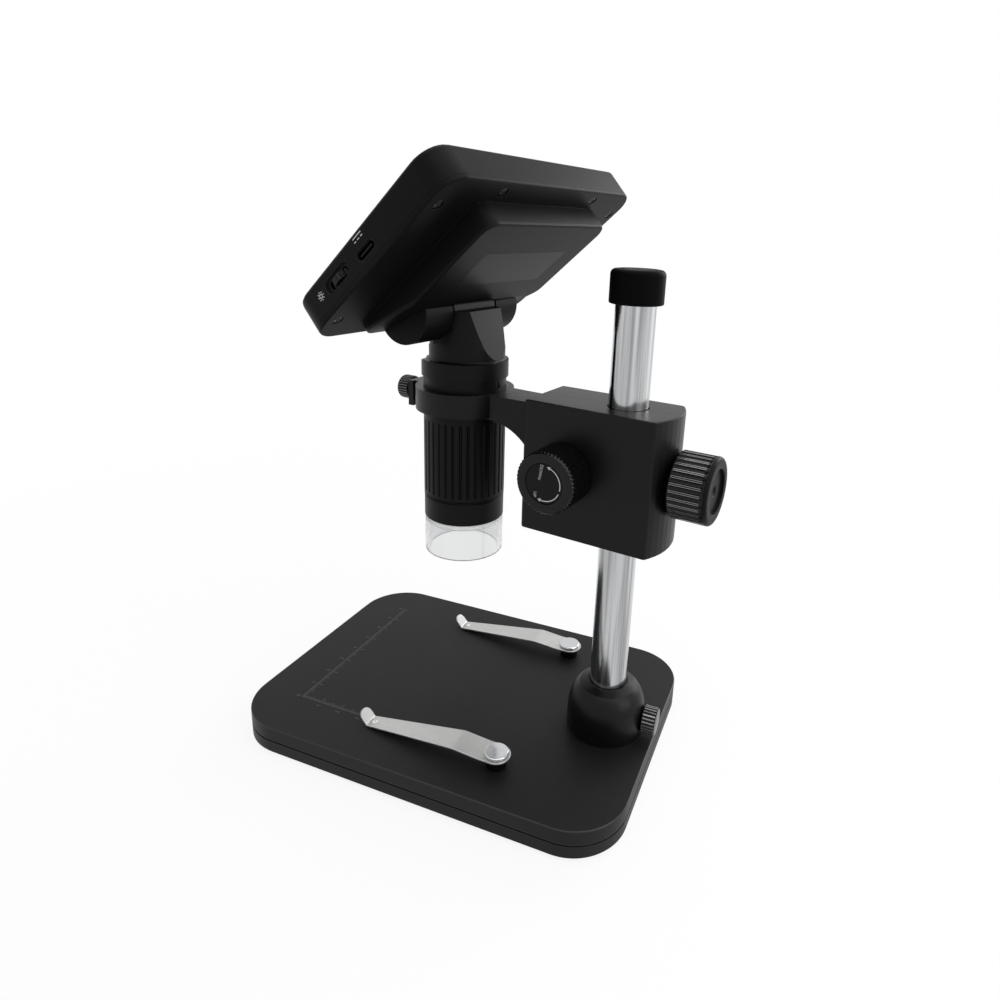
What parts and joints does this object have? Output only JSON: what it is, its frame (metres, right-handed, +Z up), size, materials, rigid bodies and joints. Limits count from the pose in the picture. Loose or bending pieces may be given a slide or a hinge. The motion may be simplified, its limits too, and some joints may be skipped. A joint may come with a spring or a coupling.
{
  "type": "digital microscope",
  "caption": "Desktop digital microscope with a tilting screen head, a focusing barrel and a rack driven arm on a chrome column and a flat base.",
  "frame": {"origin": "middle of the base's footprint, on the table surface that the feet stand on", "axes": "+Z up along the column, -Y towards the user, +Y towards the column, +X to the user's right"},
  "size_m": [0.135, 0.1845, 0.2373],
  "materials": {
    "base_plastic": "moulded ABS, fine spark-eroded grain",
    "ballast_steel": "rolled steel sheet",
    "rubber": "soft rubber",
    "zinc_screws": "zinc plated screw",
    "stand_plastic": "moulded, fine spark-eroded grain",
    "chrome": "polished plate",
    "clip_steel": "satin spring steel",
    "knob_plastic": "moulded, satin",
    "brass": "machined brass",
    "sleeve_plastic": "moulded acetal",
    "barrel_plastic": "moulded, satin",
    "casing_plastic": "moulded ABS, fine grain",
    "clear_plastic": "clear moulded acrylic",
    "lens_glass": "polished glass",
    "screen_glass": "printed cover glass",
    "board_green": "solder mask",
    "led_white": "white board with lamps",
    "display_metal": "stamped steel",
    "cell_foil": "foil pouch",
    "dark_plastic": "moulded"
  },
  "bodies": {
    "stand": {"base_cover": "base_plastic", "base_tray": "base_plastic", "ballast_plate": "ballast_steel", "base_feet": "rubber", "base_screws": "zinc_screws", "socket_fixings": "zinc_screws", "column_socket": "stand_plastic", "column": "chrome", "end_cap": "stand_plastic", "clip_rivets": "chrome", "clip_spacers": "stand_plastic"},
    "set_screw": {"set_screw": "knob_plastic"},
    "clip_left": {"clip_left": "clip_steel"},
    "clip_right": {"clip_right": "clip_steel"},
    "sleeve": {"column_sleeve": "sleeve_plastic"},
    "carriage": {"block_right": "stand_plastic", "block_left": "stand_plastic", "block_screws": "zinc_screws", "lock_nut": "brass"},
    "lock_knob": {"lock_knob": "knob_plastic"},
    "focus_drive": {"focus_shaft": "chrome", "pinion": "brass", "focus_knob": "knob_plastic", "focus_knob_disc": "knob_plastic"},
    "arm": {"arm": "stand_plastic", "rack": "brass"},
    "clamp_screw": {"clamp_screw": "knob_plastic"},
    "scope": {"barrel": "barrel_plastic", "nose_ring": "barrel_plastic", "led_board": "led_white", "neck": "barrel_plastic", "sensor_board": "board_green"},
    "focus_ring": {"focus_ring": "barrel_plastic"},
    "lens_cell": {"lens_cell": "barrel_plastic", "lens": "lens_glass"},
    "clear_cap": {"clear_cap": "clear_plastic"},
    "snap_button": {"snap_button": "barrel_plastic"},
    "head": {"rear_cover": "casing_plastic", "front_frame": "casing_plastic", "head_screws": "zinc_screws", "hinge_pin": "chrome", "screen_glass": "screen_glass", "lcd_panel": "display_metal", "main_board": "board_green", "battery": "cell_foil", "key_board": "board_green", "usb_socket": "display_metal", "card_socket": "display_metal", "dimmer_base": "dark_plastic"},
    "dimmer_wheel": {"dimmer_wheel": "casing_plastic"},
    "key_power": {"key_power": "casing_plastic"},
    "key_left": {"key_left": "casing_plastic"},
    "key_ok": {"key_ok": "casing_plastic"},
    "key_right": {"key_right": "casing_plastic"},
    "key_menu": {"key_menu": "casing_plastic"}
  },
  "joints": [
    {"name": "set_screw_turn", "type": "hinge", "parent": "stand", "child": "set_screw", "pos_m": [0, 0.0628, 0.0213], "axis": [0, 1, 0], "range_deg": [0, 720]},
    {"name": "clip_left_swing", "type": "hinge", "parent": "stand", "child": "clip_left", "pos_m": [-0.0405, 0.0315, 0.0134], "axis": [0, 0, 1], "range_deg": [-60, 30]},
    {"name": "clip_right_swing", "type": "hinge", "parent": "stand", "child": "clip_right", "pos_m": [0.0405, 0.0315, 0.0134], "axis": [0, 0, 1], "range_deg": [-30, 60]},
    {"name": "column_slide", "type": "slide", "parent": "stand", "child": "sleeve", "axis": [0, 0, 1], "range_m": [-0.03, 0.035]},
    {"name": "column_swivel", "type": "hinge", "parent": "sleeve", "child": "carriage", "pos_m": [0, 0.0628, 0.1004], "axis": [0, 0, 1], "continuous": true},
    {"name": "lock_knob_turn", "type": "hinge", "parent": "carriage", "child": "lock_knob", "pos_m": [0, 0.0628, 0.1269], "axis": [0.1366, 0.9906, 0], "range_deg": [0, 720]},
    {"name": "focus_knob_turn", "type": "hinge", "parent": "carriage", "child": "focus_drive", "pos_m": [-0.00242, 0.04527, 0.1271], "axis": [0.9906, -0.1366, 0], "range_deg": [0, 239]},
    {"name": "arm_slide", "type": "slide", "parent": "carriage", "child": "arm", "axis": [0, 0, 1], "range_m": [-0.02, 0]},
    {"name": "clamp_screw_turn", "type": "hinge", "parent": "arm", "child": "clamp_screw", "pos_m": [-0.01011, -0.01056, 0.1443], "axis": [-0.1366, -0.9906, 0], "range_deg": [0, 720]},
    {"name": "scope_turn", "type": "hinge", "parent": "arm", "child": "scope", "pos_m": [-0.01011, -0.01056, 0.1494], "axis": [0, 0, 1], "range_deg": [-30, 30]},
    {"name": "focus_ring_turn", "type": "hinge", "parent": "scope", "child": "focus_ring", "pos_m": [-0.01011, -0.01056, 0.1494], "axis": [0, 0, 1], "range_deg": [0, 302]},
    {"name": "lens_slide", "type": "slide", "parent": "scope", "child": "lens_cell", "axis": [0, 0, 1], "range_m": [0, 0.005]},
    {"name": "clear_cap_pull", "type": "slide", "parent": "scope", "child": "clear_cap", "axis": [0, 0, -1], "range_m": [0, 0.012]},
    {"name": "snap_button_press", "type": "slide", "parent": "scope", "child": "snap_button", "axis": [0.1625, 0.9867, 0], "range_m": [0, 0.0012], "stiffness_N_per_m": 1200},
    {"name": "screen_tilt", "type": "hinge", "parent": "scope", "child": "head", "pos_m": [-0.01122, -0.0173, 0.1809], "axis": [0.9867, -0.1625, 0], "range_deg": [-8, 34]},
    {"name": "dimmer_turn", "type": "hinge", "parent": "head", "child": "dimmer_wheel", "pos_m": [0.04544, -0.02495, 0.19565], "axis": [-0.1076, -0.6533, 0.7494], "range_deg": [0, 270]},
    {"name": "key_power_press", "type": "slide", "parent": "head", "child": "key_power", "axis": [0.1076, 0.6533, -0.7494], "range_m": [0, 0.0006], "stiffness_N_per_m": 800},
    {"name": "key_left_press", "type": "slide", "parent": "head", "child": "key_left", "axis": [0.1076, 0.6533, -0.7494], "range_m": [0, 0.0006], "stiffness_N_per_m": 800},
    {"name": "key_ok_press", "type": "slide", "parent": "head", "child": "key_ok", "axis": [0.1076, 0.6533, -0.7494], "range_m": [0, 0.0006], "stiffness_N_per_m": 800},
    {"name": "key_right_press", "type": "slide", "parent": "head", "child": "key_right", "axis": [0.1076, 0.6533, -0.7494], "range_m": [0, 0.0006], "stiffness_N_per_m": 800},
    {"name": "key_menu_press", "type": "slide", "parent": "head", "child": "key_menu", "axis": [0.1076, 0.6533, -0.7494], "range_m": [0, 0.0006], "stiffness_N_per_m": 800}
  ],
  "couplings": [
    {"joint": "focus_knob_turn", "follows": "arm_slide", "rad_per_m": -208.33},
    {"joint": "focus_ring_turn", "follows": "lens_slide", "rad_per_m": 1052.6}
  ]
}
